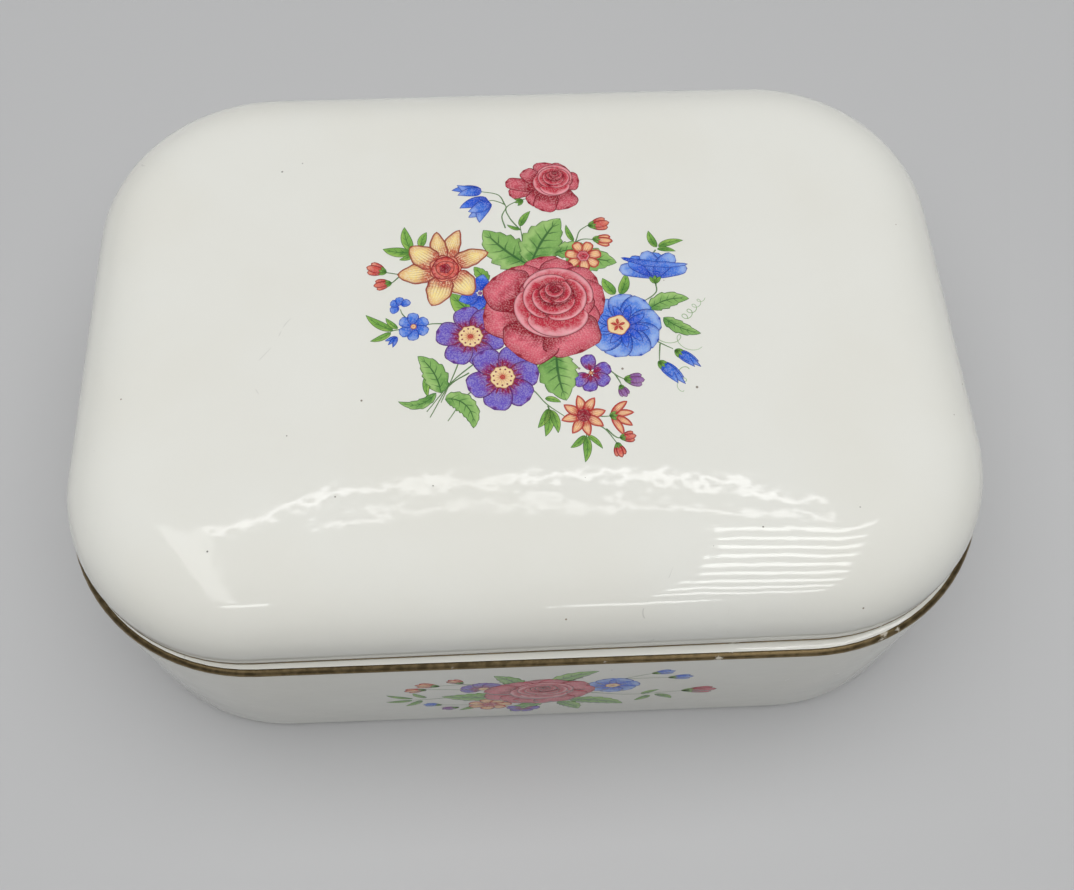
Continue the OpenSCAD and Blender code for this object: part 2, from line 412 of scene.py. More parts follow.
def make_specks():
    """Pin-holes and iron specks: one round dot in some cells of a scattered grid."""
    group, given, out = new_group(
        "glaze_specks",
        [("Place", "vector", None), ("Cells", "value", 120.0), ("Share", "value", 0.2),
         ("Size", "value", 0.03)],
        [("Dots", "value"), ("Tone", "value")])
    cells = group.add("TexVoronoi", feature="F1", Vector=given["Place"], Scale=given["Cells"])
    split = group.add("SeparateColor", Color=cells.outputs["Color"])
    chosen = group.maths("LESS_THAN", split.outputs["Red"], given["Share"])
    size = group.times(given["Size"], group.plus(split.outputs["Green"], 0.35))
    dot = group.ramp(cells.outputs["Distance"], size, group.times(size, 0.6))
    group.link(group.times(dot, chosen), out["Dots"])
    group.link(split.outputs["Blue"], out["Tone"])
    return group


def make_hairlines():
    """Short fine scratches from use, gathered in a few places."""
    group, given, out = new_group(
        "hairline_scratches", [("Place", "vector", None)], [("Lines", "value")])
    drift = group.noise(given["Place"], 70, 1.0)
    off_line = group.maths("ABSOLUTE", group.maths("SUBTRACT", drift, 0.5))
    line = group.ramp(off_line, 0.0035, 0.001)
    gathered = group.ramp(group.noise(given["Place"], 31, 1.0), 0.60, 0.66)
    broken = group.ramp(group.noise(given["Place"], 620, 1.0), 0.56, 0.62)
    marks = group.times(line, gathered)
    group.link(group.times(marks, broken), out["Lines"])
    return group


# ---------------------------------------------------------------- porcelain and gilding
PORCELAIN = (0.80, 0.795, 0.735)
PORCELAIN_WARM = (0.77, 0.755, 0.68)
SCRATCH_GREY = (0.30, 0.29, 0.26)
GLAZE_BUMP = 0.35
GLAZE_WAVE = 0.55
GLAZE_PEEL = 0.8
GLAZE_DEPTH = 0.0006
GLAZE_IOR = 1.52
GLAZE_ROUGHNESS = 0.045
PRINT_ROUGHNESS = 0.055
FOOT_BARE_BELOW = 0.2 * MM
FOOT_BARE_FLAT = 0.7
FOOT_BUMP = 0.4
FOOT_DEPTH = 0.0001
SPECK_IRON = (0.05, 0.045, 0.04)
SPECK_RUST = (0.22, 0.13, 0.06)
FOOT_CLEAN = (0.70, 0.67, 0.60)
FOOT_STAIN = (0.42, 0.37, 0.30)
GOLD_DARK = (0.20, 0.145, 0.072)
GOLD_BRIGHT = (0.34, 0.25, 0.125)
GOLD_WORN = (0.55, 0.51, 0.42)


def porcelain_glaze(glaze_surface, specks, hairlines):
    material, tree, shader = new_material("glazed_porcelain")
    place = tree.place()
    surface = tree.use(glaze_surface, Place=place, Wave=GLAZE_WAVE, Peel=GLAZE_PEEL)
    dots = tree.use(specks, Place=place, Cells=330.0, Share=0.24, Size=0.05)
    cloud = tree.ramp(surface["Cloud"], 0.35, 0.68)
    colour = tree.mix_by(cloud, 0.5, PORCELAIN, PORCELAIN_WARM)
    speck_colour = tree.mix(dots["Tone"], SPECK_IRON, SPECK_RUST)
    colour = tree.mix_by(dots["Dots"], 0.85, colour, speck_colour)
    scratch = tree.use(hairlines, Place=place)["Lines"]
    colour = tree.mix_by(scratch, 0.4, colour, SCRATCH_GREY)
    tree.link(colour, shader.inputs["Base Color"])
    rough = tree.times_plus(cloud, 0.02, GLAZE_ROUGHNESS)
    rough = tree.times_plus(dots["Dots"], 0.3, rough)
    tree.link(tree.times_plus(scratch, 0.25, rough), shader.inputs["Roughness"])
    height = tree.times_plus(dots["Dots"], -0.4, surface["Height"])
    tree.bump(shader, height, GLAZE_BUMP, GLAZE_DEPTH)
    shader.inputs["IOR"].default_value = GLAZE_IOR
    return material


def bare_foot():
    """The unglazed porcelain of the foot ring, greyed where it has stood."""
    material, tree, shader = new_material("bare_porcelain_foot")
    place = tree.place()
    grain = tree.noise(place, 1800, 3.0)
    stain = tree.ramp(tree.noise(place, 160, 4.0), 0.45, 0.85)
    colour = tree.mix(stain, FOOT_CLEAN, FOOT_STAIN)
    tree.link(colour, shader.inputs["Base Color"])
    tree.link(tree.times_plus(grain, 0.2, 0.6), shader.inputs["Roughness"])
    tree.bump(shader, grain, FOOT_BUMP, FOOT_DEPTH)
    return material


def worn_gilding():
    """A brushed gold line, dulled and rubbed through to the glaze in places."""
    material, tree, shader = new_material("worn_gilding")
    place = tree.place()
    rub = tree.noise(place, 260, 5.0, 0.65)
    worn = tree.ramp(rub, 0.62, 0.67)
    tone = tree.ramp(tree.noise(place, 900, 3.0), 0.35, 0.7)
    gold = tree.mix(tone, GOLD_DARK, GOLD_BRIGHT)
    tree.link(tree.mix(worn, gold, GOLD_WORN), shader.inputs["Base Color"])
    tree.link(tree.maths("SUBTRACT", 1.0, worn), shader.inputs["Metallic"])
    tree.link(tree.times_plus(tone, 0.18, 0.28), shader.inputs["Roughness"])
    return material


# ---------------------------------------------------------------- gilt lines
GILT_THICK = 0.02 * MM
BASE_GILT = (LEDGE_Z - 0.56 * MM, LEDGE_Z - 0.06 * MM)
LID_GILT = (LEDGE_Z + 0.22 * MM, LEDGE_Z + 0.86 * MM)


def band_piece(name, source, chosen, low, high):
    """A thin band of gilding, lifted from a finished piece's surface between two heights."""
    deselect_all()
    band = source.copy()
    band.data = source.data.copy()
    band.name = name
    band.data.name = name
    bpy.context.collection.objects.link(band)
    band.select_set(True)
    bpy.context.view_layer.objects.active = band
    bpy.ops.object.mode_set(mode="EDIT")
    pick_faces(band, lambda f: not chosen(f))
    bpy.ops.mesh.delete(type="FACE")
    for height, way in ((high, 1), (low, -1)):
        bpy.ops.mesh.select_all(action="SELECT")
        bpy.ops.mesh.bisect(plane_co=(0, 0, height), plane_no=(0, 0, way), clear_outer=True)
    bpy.ops.object.mode_set(mode="OBJECT")
    solid = band.modifiers.new("gilding", "SOLIDIFY")
    solid.thickness = GILT_THICK
    solid.offset = 1
    bpy.ops.object.modifier_apply(modifier="gilding")
    return band


# ---------------------------------------------------------------- painted prints
# The prints are films a few thousandths of a millimetre thick, each shape following the
# glaze under it. Edit-mode operators can't lay so thin a shape on a curved face, so their
# grids are laid point by point, and Solidify closes them.
FILM_LOW = 0.007 * MM
FILM_STEP = 0.005 * MM
FILM_THICK = 0.002 * MM
TONE_SEED = 11

BROAD = (0.55, 0.36)
OVAL = (0.5, 0.5)
POINTED = (0.65, 0.95)
LEAF = (0.6, 0.9)
SLIM = (0.8, 0.8)
STEM_WIDTH = 0.2
STEM_LAYER = 0.2
TENDRIL_WIDTH = 0.11


def at(x, y):
    """A place on a print, in millimetres."""
    return Vector((x, y))


def turned(angle, length=1.0):
    """A step of some millimetres in the direction of an angle in degrees."""
    return at(math.cos(math.radians(angle)), math.sin(math.radians(angle))) * length


def on_lid(x, y, lift):
    return Vector((x, y, lid_top(x, y) + lift))


def on_front(x, z, lift):
    return Vector((x, -HALF_WIDTH - lift, z))


class Film:
    """One printed film: painted shapes gathered in a mesh, laid on the lid or the front wall."""

    def __init__(self, name, lay, outward):
        self.name = name
        self.lay = lay
        self.outward = Vector(outward)
        self.mesh = bmesh.new()
        self.brush = self.mesh.loops.layers.uv.new("brush")
        self.edge = self.mesh.verts.layers.float.new("edge")
        self.tone = self.mesh.verts.layers.float.new("tone")
        self.paints = []
        self.tones = random.Random(TONE_SEED)

    def patch(self, rows, paint, layer):
        """Adds rows of (place, along, across, edge, rise) as one shape of the film."""
        if paint not in self.paints:
            self.paints.append(paint)
        tone = self.tones.random()
        corners = {}

        def corner(entry):
            place, _, _, edge, rise = entry
            key = (round(place.x, 4), round(place.y, 4))
            if key not in corners:
                lift = FILM_LOW + (layer + rise) * FILM_STEP
                vert = self.mesh.verts.new(self.lay(place.x * MM, place.y * MM, lift))
                vert[self.edge] = edge
                vert[self.tone] = tone
                corners[key] = vert
            return corners[key]

        for near, far in zip(rows, rows[1:]):
            for i in range(len(near) - 1):
                entries = (near[i], near[i + 1], far[i + 1], far[i])
                verts = [corner(entry) for entry in entries]
                kept = [k for k in range(4) if verts[k] is not verts[k - 1]]
                if len(kept) < 3:
                    continue
                face = self.mesh.faces.new([verts[k] for k in kept])
                face.material_index = self.paints.index(paint)
                face.smooth = True
                for loop, k in zip(face.loops, kept):
                    loop[self.brush].uv = entries[k][1:3]
                face.normal_update()
                if face.normal.dot(self.outward) < 0:
                    face.normal_flip()

    def finish(self, pose):
        data = bpy.data.meshes.new(self.name)
        self.mesh.to_mesh(data)
        self.mesh.free()
        piece = bpy.data.objects.new(self.name, data)
        bpy.context.collection.objects.link(piece)
        for paint in self.paints:
            data.materials.append(paint)
        deselect_all()
        piece.select_set(True)
        bpy.context.view_layer.objects.active = piece
        solid = piece.modifiers.new("film", "SOLIDIFY")
        solid.thickness = FILM_THICK
        solid.offset = -1
        bpy.ops.object.modifier_apply(modifier="film")
        piece.data.transform(pose)
        return piece


def bowed(start, end, bow, steps):
    """A spine from start to end, bowed to its left by a share of its length."""
    run = end - start
    side = at(-run.y, run.x)
    shares = [i / steps for i in range(steps + 1)]
    return [start + run * t + side * (bow * 4 * t * (1 - t)) for t in shares]


def arc(centre, radius, start, sweep, steps, squash=1.0):
    spine = []
    for i in range(steps + 1):
        step = turned(start + sweep * i / steps, radius)
        spine.append(centre + at(step.x, step.y * squash))
    return spine


def flowing(points, steps=6):
    """A smooth line through the points."""
    ends = [points[0] * 2 - points[1]] + points + [points[-1] * 2 - points[-2]]
    spine = []
    for a, b, c, d in zip(ends, ends[1:], ends[2:], ends[3:]):
        for i in range(steps):
            t = i / steps
            spine.append(
                (b * 2 + (c - a) * t + (a * 2 - b * 5 + c * 4 - d) * t * t
                 + (b * 3 - a - c * 3 + d) * t ** 3) / 2)
    spine.append(points[-1])
    return spine


def blade(film, spine, width, paint, layer, profile, columns=6, notch=0.0, ruffle=0.0,
          waves=3, teeth=0, tilt=0.0, rim_up=False):
    """A petal or leaf: a spine whose width swells and closes as the profile says."""
    rise, fall = profile
    crest = rise / (rise + fall)
    swell = crest ** rise * (1 - crest) ** fall
    count = len(spine) - 1
    length = sum((b - a).length for a, b in zip(spine, spine[1:]))
    rows = []
    for i, point in enumerate(spine):
        t = i / count
        ahead = (spine[min(i + 1, count)] - spine[max(i - 1, 0)]).normalized()
        side = at(-ahead.y, ahead.x)
        half = width / 2 * t ** rise * (1 - t) ** fall / swell
        half *= 1 + ruffle * math.sin(waves * 2 * math.pi * t + width)
        if teeth:
            half *= 0.84 + 0.22 * (t * teeth % 1)
        row = []
        for j in range(columns + 1):
            s = 2 * j / columns - 1
            sunk = notch * length * t * t * (1 - abs(s)) ** 2
            place = point + side * half * s - ahead * sunk
            edge = max(min(half * (1 - abs(s)), (1 - t) * length * 0.8 - sunk * (1 - t)), 0)
            brush = ((s + 1) / 2, 2 * t - 1) if rim_up else (t, s)
            row.append((place, *brush, edge, tilt * s * t))
        rows.append(row)
    film.patch(rows, paint, layer)


def disc(film, centre, radius, paint, layer, lobes=0, squash=1.0, cuts=24):
    rows = []
    for ring in (0, 0.35, 0.65, 0.85, 1):
        row = []
        for j in range(cuts + 1):
            angle = 360 * j / cuts
            swell = 1 + 0.07 * math.cos(math.radians(lobes * angle)) if lobes else 1
            step = turned(angle, radius * ring * swell)
            place = centre + at(step.x, step.y * squash)
            row.append((place, ring, 2 * j / cuts - 1, radius * (1 - ring), 0))
        rows.append(row)
    film.patch(rows, paint, layer)


def stroke(film, points, width, paint, layer, steps=6):
    """A stem or tendril: an even pen line through the points, thinned to its end."""
    spine = flowing(points, steps)
    count = len(spine) - 1
    rows = []
    for i, point in enumerate(spine):
        ahead = (spine[min(i + 1, count)] - spine[max(i - 1, 0)]).normalized()
        half = at(-ahead.y, ahead.x) * (width / 2 * (1 - 0.4 * i / count))
        rows.append([(point + half * s, i / count, s, width, 0) for s in (-1, 1)])
    film.patch(rows, paint, layer)


def stems(film, paint, lines):
    for points in lines:
        stroke(film, [at(*point) for point in points], STEM_WIDTH, paint, STEM_LAYER)


def curl(film, start, end, loops, radius, paint, layer):
    """A vine's tendril, coiling between two places."""
    points = []
    for i in range(loops * 8 + 1):
        t = i / (loops * 8)
        size = radius * (1 - 0.35 * t)
        points.append(start + (end - start) * t + turned(45 * i, size) - turned(0, size))
    stroke(film, points, TENDRIL_WIDTH, paint, layer, 3)


def ray(film, centre, angle, near, far, bow, steps, width, paint, layer, profile, columns=6,
        **shape):
    """A petal that points away from a centre, between two distances from it."""
    spine = bowed(centre + turned(angle, near), centre + turned(angle, far), bow, steps)
    blade(film, spine, width, paint, layer, profile, columns, **shape)


def petals(film, centre, radius, angles, width, paint, layer, profile, inner=0.12, notch=0.0,
           tilt=0.35):
    """A whorl: each petal tucked under the next one."""
    for k, angle in enumerate(angles):
        ray(film, centre, angle, radius * inner, radius, 0.03 if k % 2 else -0.03, 12, width,
            paint, layer, profile, notch=notch, tilt=tilt)


def evenly(count, first=0.0):
    return [first + 360 * k / count for k in range(count)]


def sepals(film, place, angle, size, paint, layer):
    for lean in (-32, 0, 32):
        ray(film, place, angle + lean, 0, size, 0.05, 8, size * 0.42, paint, layer, SLIM, 4)


def bud(film, place, angle, size, paint, green, layer):
    """A closed flower: three petals wrapped round each other, held in their sepals."""
    for lean, share in ((-20, 0.9), (20, 0.9), (0, 1.0)):
        level = layer + (0 if lean else 0.6)
        ray(film, place, angle + lean, 0, size * share, 0.0, 10, size * 0.45, paint, level, OVAL, 4,
            tilt=0.2)
    sepals(film, place - turned(angle, size * 0.12), angle, size * 0.45, green, layer + 1.3)


def leaves(film, rows):
    """Leaves from rows of base, tip, width, paint, layer, bow and number of teeth."""
    for x, y, tip_x, tip_y, width, paint, layer, bow, teeth in rows:
        spine = bowed(at(x, y), at(tip_x, tip_y), bow, teeth * 5 if teeth else 16)
        blade(film, spine, width, paint, layer, LEAF, teeth=teeth)


def leaflets(film, paint, bow, rows):
    leaves(film, [(*row, paint, 1.0, bow, 0) for row in rows])


# Each wrapped petal's radius, start, sweep and width, in rose sizes and degrees, and how the
# wraps share the layers over the cup.
ROSE_WRAPS = (
    (0.52, 150, 175, 0.36), (0.52, 350, 165, 0.34), (0.50, 215, 120, 0.46), (0.40, 60, 190, 0.24),
    (0.40, 250, 170, 0.24), (0.30, 150, 200, 0.19), (0.30, 340, 180, 0.19), (0.205, 40, 220, 0.14),
    (0.205, 260, 170, 0.14), (0.12, 120, 250, 0.10))
WRAP_LAYER = 3.0
WRAP_STEP = 0.32
WRAP_RISE = 1.9


def rose(film, centre, size, paints, layer, guard, cup_at, core_at):
    """A full rose: guard petals round a cup of wrapped petals that close on the core."""
    outer, inner, deep = paints
    for angle, reach, width, level in guard:
        bow = 0.05 if level % 2 else -0.05
        ray(film, centre, angle, size * 0.18, size * reach, bow, 18, size * width, outer,
            layer + level * 0.8, BROAD, 8, notch=0.05, ruffle=0.05, waves=2, tilt=0.25)
    cup = centre + cup_at * size
    core = centre + core_at * size
    disc(film, cup, size * 0.6, outer, layer + 2.5, lobes=5, squash=0.95, cuts=36)
    for k, (radius, start, sweep, width) in enumerate(ROSE_WRAPS):
        middle = cup.lerp(core, k / (len(ROSE_WRAPS) - 1))
        spine = arc(middle, size * radius, start, sweep, 22, 0.92)
        spine.reverse()
        level = layer + WRAP_LAYER + WRAP_STEP * k % WRAP_RISE
        blade(film, spine, size * width, inner, level, (0.45, 0.45), rim_up=True)
    disc(film, core, size * 0.07, deep, layer + 4.9, cuts=12)


# ---------------------------------------------------------------- paints
COLOURS = ("Base", "Middle", "Tip", "Line")
BARE_PRINT = (0.85, 0.8, 0.76)


def painted(name, brush, glaze_surface, colours, **values):
    """A paint of the prints, under the same glaze as the porcelain round it."""
    material, tree, shader = new_material(name)
    place = tree.place()
    strokes = tree.add("UVMap", uv_map="brush").outputs["UV"]
    edge = tree.add("Attribute", attribute_name="edge").outputs["Fac"]
    tone = tree.add("Attribute", attribute_name="tone").outputs["Fac"]
    values.update(zip(COLOURS, colours))
    paint = tree.use(brush, Place=place, Strokes=strokes, Edge=edge, Tone=tone, **values)
    tree.link(paint["Colour"], shader.inputs["Base Color"])
    surface = tree.use(glaze_surface, Place=place, Wave=GLAZE_WAVE, Peel=GLAZE_PEEL)
    rough = tree.times_plus(paint["Ink"], 0.05, PRINT_ROUGHNESS)
    tree.link(rough, shader.inputs["Roughness"])
    tree.bump(shader, surface["Height"], GLAZE_BUMP, GLAZE_DEPTH)
    shader.inputs["IOR"].default_value = GLAZE_IOR
    return material


def printed(red, green, blue):
    """A colour of the paint card, from its 0 to 255 values."""
    def linear(value):
        share = value / 255
        return share / 12.92 if share <= 0.04045 else ((share + 0.055) / 1.055) ** 2.4
    return (linear(red), linear(green), linear(blue), 1)


def new_brush(name, *settings):
    """A group that paints a shape, with its inputs and the place along and across the shape."""
    inputs = [("Place", "vector", None), ("Strokes", "vector", None), ("Edge", "value", 1.0),
              ("Tone", "value", 0.5)]
    inputs += [(label, "colour", None) for label in COLOURS]
    inputs += [(label, "value", default) for label, default in settings]
    group, given, out = new_group(name, inputs, [("Colour", "colour"), ("Ink", "value")])
    split = group.add("SeparateXYZ", Vector=given["Strokes"])
    return group, given, out, split.outputs["X"], split.outputs["Y"]


def outline(group, given, grain):
    """The dark edge of a shape, of uneven width."""
    width = group.times(given["Outline"], group.times_plus(grain, 0.9, 0.45))
    return group.ramp(given["Edge"], width, group.times(width, 0.45))


def make_petal_brush():
    """Washes from a petal's base to its tip, pen lines along it, stipple and an outline."""
    group, given, out, along, across = new_brush(
        "petal_brush", ("Lines", 12.0), ("Reach", 0.6), ("Outline", 0.12), ("Mottle", 0.3),
        ("Root", 0.05), ("Shade", 0.35))
    wobble = group.noise(given["Place"], 900, 3.0)
    grain = group.noise(given["Place"], 5200, 2.0, 0.6)
    reach = group.plus(along, group.times_plus(wobble, 0.5, -0.25))
    opened = group.ramp(reach, given["Root"], group.plus(given["Root"], 0.4))
    colour = group.mix(opened, given["Base"], given["Middle"])
    closing = group.plus(given["Root"], 0.5)
    tipped = group.ramp(reach, closing, group.plus(closing, 0.4))
    colour = group.mix(tipped, colour, given["Tip"])
    soft = group.times(given["Shade"], group.plus(wobble, 0.5))
    tucked = group.ramp(given["Edge"], soft, 0.0)
    colour = group.mix_by(tucked, 0.55, colour, given["Base"])
    pale = group.ramp(group.plus(grain, group.times(wobble, 0.3)), 0.6, 0.75)
    light = group.mix(0.5, given["Middle"], BARE_PRINT)
    colour = group.mix_by(pale, given["Mottle"], colour, light)
    swing = group.times_plus(wobble, 0.5, group.times(given["Tone"], 5.0))
    comb = group.plus(group.times(across, given["Lines"]), swing)
    comb = group.maths("PINGPONG", comb, 1.0)
    line = group.ramp(comb, 0.42, 0.12)
    fade = group.ramp(along, group.plus(given["Reach"], group.times(grain, 0.3)), 0.08)
    ink = group.times(group.times(line, fade), 0.7)
    ink = group.maths("MAXIMUM", ink, group.times(outline(group, given, grain), 0.88))
    group.link(group.mix(ink, colour, given["Line"]), out["Colour"])
    group.link(ink, out["Ink"])
    return group


def make_leaf_brush():
    """Two greens washed together, a midrib with slanting veins, and a dark edge."""
    group, given, out, along, across = new_brush("leaf_brush", ("Lines", 6.0), ("Outline", 0.1))
    side = group.maths("ABSOLUTE", across)
    wobble = group.noise(given["Place"], 700, 3.0)
    grain = group.noise(given["Place"], 4200, 2.0, 0.6)
    wash = group.plus(along, group.times_plus(wobble, 0.9, -0.55))
    wash = group.times_plus(given["Tone"], 0.3, wash)
    colour = group.mix(group.ramp(wash, 0.1, 0.6), given["Base"], given["Middle"])
    bright = group.ramp(group.times_plus(across, 0.5, wobble), 0.55, 0.95)
    colour = group.mix_by(bright, 0.7, colour, given["Tip"])
    colour = group.mix_by(group.ramp(grain, 0.5, 0.75), 0.35, colour, given["Tip"])
    slant = group.times_plus(side, -1.1, group.times(along, given["Lines"]))
    vein = group.maths("PINGPONG", group.plus(slant, group.times(wobble, 0.4)), 0.5)
    vein = group.ramp(vein, 0.11, 0.03)
    vein = group.times(vein, group.ramp(side, 0.85, 0.2))
    midrib = group.ramp(side, 0.10, 0.03)
    midrib = group.times(midrib, group.ramp(along, 0.97, 0.75))
    ink = group.maths("MAXIMUM", group.times(vein, 0.75), group.times(midrib, 0.85))
    ink = group.maths("MAXIMUM", ink, group.times(outline(group, given, grain), 0.75))
    group.link(group.mix(ink, colour, given["Line"]), out["Colour"])
    group.link(ink, out["Ink"])
    return group


def mix_paints(glaze_surface):
    """The paint card of both prints."""
    petal = make_petal_brush()
    foliage = make_leaf_brush()

    def paint(name, *colours, brush=petal, **values):
        return painted(name, brush, glaze_surface, [printed(*c) for c in colours], **values)

    def green(name, *colours, **values):
        return paint(name, *colours, brush=foliage, **values)

    return {
        "rose": paint("rose_guard_paint", (152, 28, 44), (226, 106, 122), (204, 66, 84),
                      (136, 28, 44), Lines=19.0, Reach=0.8, Outline=0.2, Mottle=0.35, Root=0.36,
                      Shade=1.7),
        "cup": paint("rose_cup_paint", (140, 24, 40), (196, 52, 70), (240, 164, 172),
                     (132, 24, 40), Lines=34.0, Reach=0.6, Outline=0.12, Mottle=0.35,
                     Shade=0.3),
        "core": paint("rose_core_paint", (128, 22, 38), (150, 32, 48), (176, 50, 66),
                      (110, 20, 34), Lines=8.0, Reach=0.5, Outline=0.1, Mottle=0.3),
        "purple": paint("purple_petal_paint", (150, 34, 84), (108, 88, 190), (112, 98, 202),
                        (88, 48, 130), Lines=9.0, Reach=0.7, Outline=0.2, Mottle=0.4,
                        Root=0.22, Shade=0.35),
        "ray": paint("magenta_ray_paint", (146, 30, 60), (160, 36, 84), (140, 60, 130),
                     (120, 24, 50), Lines=6.0, Reach=0.9, Outline=0.08, Mottle=0.1),
        "cream": paint("cream_centre_paint", (214, 120, 90), (240, 205, 150), (244, 222, 168),
                       (150, 50, 50), Lines=14.0, Reach=0.6, Outline=0.16, Mottle=0.3),
        "blue": paint("blue_petal_paint", (28, 74, 200), (64, 120, 222), (150, 184, 238),
                      (30, 64, 168), Lines=10.0, Reach=0.85, Outline=0.15, Mottle=0.4,
                      Shade=0.5),
        "deep_blue": paint("deep_blue_paint", (24, 62, 188), (36, 90, 214), (92, 142, 230),
                           (22, 50, 156), Lines=12.0, Reach=0.8, Outline=0.14, Mottle=0.3),
        "lily": paint("lily_petal_paint", (198, 92, 72), (249, 226, 150), (243, 206, 140),
                      (152, 50, 48), Lines=9.0, Reach=0.78, Outline=0.36, Mottle=0.6, Root=0.16,
                      Shade=1.3),
        "small": paint("small_flower_paint", (184, 36, 44), (243, 196, 142), (242, 186, 140),
                       (182, 44, 48), Lines=5.0, Reach=0.85, Outline=0.34, Mottle=0.4, Root=0.14,
                       Shade=0.6),
        "red": paint("red_bud_paint", (172, 40, 46), (214, 88, 76), (232, 150, 118),
                     (150, 34, 40), Lines=5.0, Reach=0.75, Outline=0.2, Mottle=0.3),
        "mauve": paint("mauve_bud_paint", (130, 60, 110), (140, 90, 160), (160, 120, 180),
                       (100, 44, 96), Lines=5.0, Reach=0.7, Outline=0.12, Mottle=0.3),
        "green": green("leaf_green_paint", (98, 148, 74), (134, 178, 98), (172, 206, 128),
                       (48, 92, 52), Lines=6.0, Outline=0.15),
        "small_green": green("sprig_green_paint", (92, 142, 62), (124, 172, 80), (164, 196, 96),
                             (54, 100, 52), Lines=4.0, Outline=0.13),
        "stem": green("stem_paint", (96, 128, 84), (110, 142, 92), (134, 160, 108),
                      (84, 112, 76), Lines=0.0, Outline=0.0),
        "tendril": green("tendril_paint", (150, 180, 128), (158, 188, 136), (170, 196, 146),
                         (140, 170, 120), Lines=0.0, Outline=0.0),
    }


# ---------------------------------------------------------------- the bouquet on the lid
def bouquet_rose(film, card):
    guard = (
        (92, 1.0, 0.78, 0), (62, 0.98, 0.72, 0.5), (122, 0.95, 0.74, 0.9),
        (33, 1.03, 0.72, 1.2), (143, 1.02, 0.86, 1.5), (8, 0.98, 0.80, 1.0),
        (186, 1.0, 0.82, 1.1), (334, 0.86, 0.70, 1.4), (242, 0.98, 0.92, 1.8),
        (303, 0.98, 0.98, 2.1), (212, 0.86, 0.66, 0.7))
    rose(film, at(2.7, -0.5), 8.2, (card["rose"], card["cup"], card["core"]), 3.0, guard,
         at(0.16, 0.10), at(0.17, 0.36))


def bouquet_upper_rose(film, card):
    guard = (
        (196, 1.35, 0.55, 0), (172, 1.42, 0.55, 0.6), (140, 1.05, 0.60, 1.1),
        (95, 1.0, 0.80, 0.3), (55, 0.98, 0.80, 0.9), (10, 1.0, 0.80, 0.5),
        (300, 1.12, 0.95, 1.2), (255, 1.08, 0.80, 1.7), (225, 1.0, 0.60, 0.8))
    rose(film, at(4.3, 19.8), 4.3, (card["rose"], card["cup"], card["core"]), 3.0, guard,
         at(0.14, 0.20), at(0.20, 0.52))
    sepals(film, at(0.6, 17.4), 200, 1.3, card["small_green"], 2)


def bouquet_leaves(film, card):
    green, small = card["green"], card["small_green"]
    leaves(film, (
        (0.9, 6.4, -5.0, 12.4, 5.6, green, 1.0, 0.05, 6),
        (1.2, 6.6, 5.5, 14.0, 5.8, green, 1.8, 0.05, 6),
        (4.4, 8.2, 9.4, 8.8, 3.0, green, 1.0, 0.05, 5),
        (5.8, 6.6, 12.6, 6.4, 4.4, green, 1.8, 0.08, 6),
        (3.8, -7.0, 4.7, -14.0, 5.4, green, 1.8, -0.05, 5),
        (3.0, -7.6, -1.4, -9.6, 2.6, green, 1.0, -0.10, 4),
        (-5.6, -1.6, -9.6, 2.4, 3.0, small, 0.3, 0.05, 0),
        (-4.4, -0.8, -6.6, 1.8, 2.0, small, 0.0, 0.0, 0),
        (-4.6, 4.0, -6.4, 6.4, 1.9, small, 0.3, 0.0, 4),
        (16.3, -1.0, 21.7, 0.5, 2.7, green, 1.0, 0.12, 4),
        (18.0, -2.3, 22.7, -4.8, 2.1, green, 1.6, -0.08, 4),
        (12.0, 1.4, 10.5, 4.0, 1.5, small, 1.0, 0.05, 0),
        (12.6, 1.4, 13.6, 4.7, 1.4, small, 1.6, -0.08, 0),
        (-12.4, -9.4, -12.6, -12.8, 1.0, small, 0.4, -0.1, 0),
        (-11.0, -12.3, -13.9, -6.9, 3.3, green, 1.4, -0.10, 5),
        (-11.6, -12.2, -16.4, -13.2, 1.5, green, 1.0, 0.22, 4),
    ))
    blade(film, arc(at(-10.0, -16.6), 3.0, 100, -112, 24, 1.15), 2.7, green, 1.0, (0.55, 0.8), 6,
          teeth=7)
    leaflets(film, small, 0.07, (
        (-14.6, 9.4, -15.6, 13.4, 1.5), (-13.4, 9.9, -12.6, 12.4, 1.2),
        (-14.8, 9.2, -18.5, 9.9, 1.6), (-14.2, 8.9, -16.3, 8.0, 0.9), (18.2, 8.8, 17.3, 11.6, 1.1),
        (18.4, 8.9, 21.9, 9.9, 1.1), (18.2, 8.5, 20.7, 8.1, 0.8), (0.0, 12.8, 1.5, 15.4, 1.0),
        (0.0, 12.3, -1.8, 13.2, 0.6), (7.1, 10.1, 6.2, 12.9, 0.8), (-17.0, -2.9, -20.6, -0.4, 1.2),
        (-16.4, -2.7, -18.0, -1.0, 0.8), (-17.3, -3.2, -20.0, -4.4, 0.9),
        (2.0, -13.6, 4.0, -14.2, 0.8), (2.4, -15.0, 0.9, -17.6, 1.1), (2.4, -15.0, 1.8, -18.8, 1.3),
        (2.6, -15.2, 3.4, -18.4, 1.1), (6.7, -18.8, 4.8, -20.4, 0.9), (6.8, -18.9, 6.5, -22.4, 1.1),
        (7.0, -18.8, 8.8, -20.7, 0.7),
    ))


